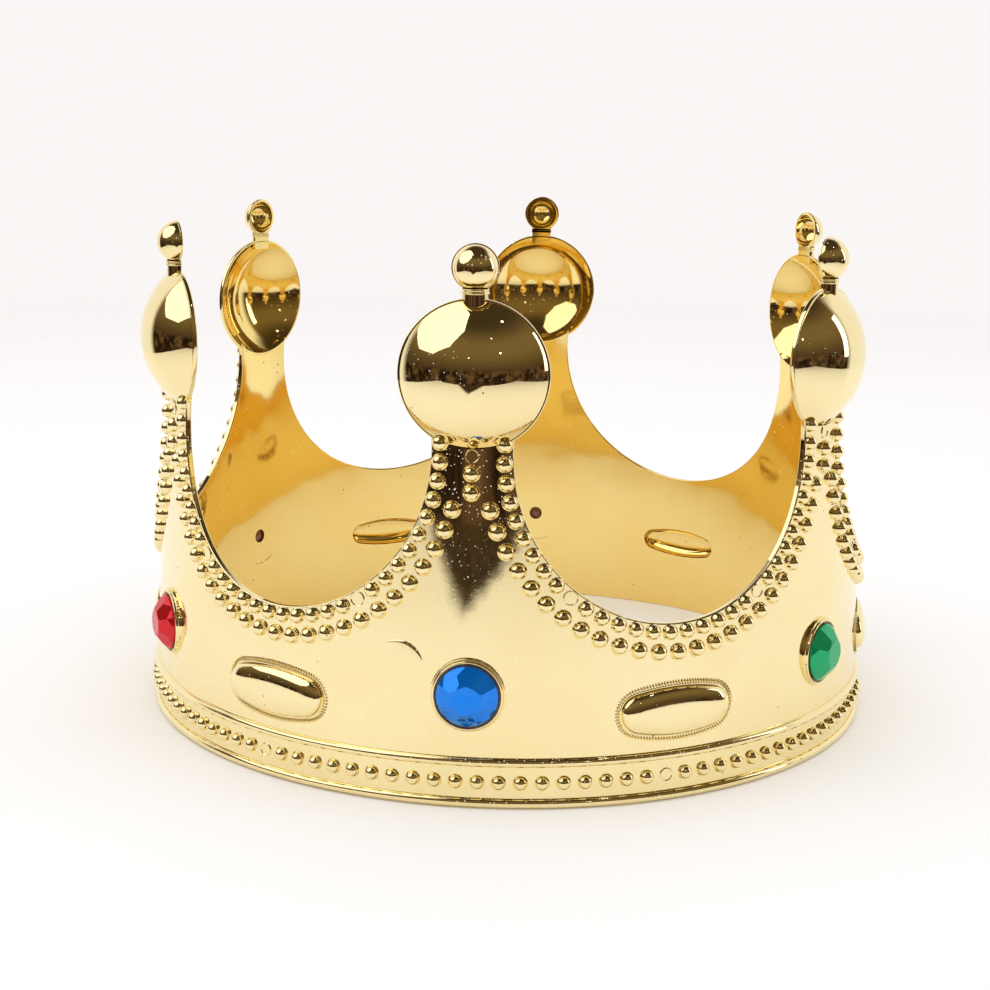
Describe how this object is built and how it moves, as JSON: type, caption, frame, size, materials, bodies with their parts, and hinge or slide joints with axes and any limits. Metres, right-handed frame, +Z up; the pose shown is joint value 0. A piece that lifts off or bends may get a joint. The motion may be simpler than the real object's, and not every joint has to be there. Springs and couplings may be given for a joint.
{
  "type": "crown",
  "caption": "Costume king's crown: gold-plated ring with orb-topped tines between U-shaped gaps, beaded edges, oval bosses and faceted stones.",
  "frame": {"origin": "centre of the ring on the plane that the foot stands on", "axes": "+Z up along the ring's axis; the front tine faces -Y and +X is to the right of someone who looks at the front"},
  "size_m": [0.1982, 0.2044, 0.1308],
  "materials": {
    "gold_plating": "vacuum-metallised mirror gloss",
    "stone_blue": "clear faceted acrylic",
    "stone_green": "clear faceted acrylic",
    "stone_red": "clear faceted acrylic",
    "lacquered_foil": "brown lacquer over mirror foil",
    "clear_glue": "dried clear adhesive"
  },
  "bodies": {
    "root": {"crown_shell": "gold_plating", "rim_beads": "gold_plating", "inner_row_beads": "gold_plating", "outer_row_beads": "gold_plating", "neck_beads": "gold_plating", "stone_front": "stone_blue", "stone_right_front": "stone_green", "stone_right_back": "stone_red", "stone_back": "stone_blue", "stone_left_back": "stone_green", "stone_left_front": "stone_red", "foil_front": "lacquered_foil", "foil_right_front": "lacquered_foil", "foil_right_back": "lacquered_foil", "foil_back": "lacquered_foil", "foil_left_back": "lacquered_foil", "foil_left_front": "lacquered_foil", "glue_front": "clear_glue", "glue_right_front": "clear_glue", "glue_right_back": "clear_glue", "glue_back": "clear_glue", "glue_left_back": "clear_glue", "glue_left_front": "clear_glue"}
  },
  "joints": []
}
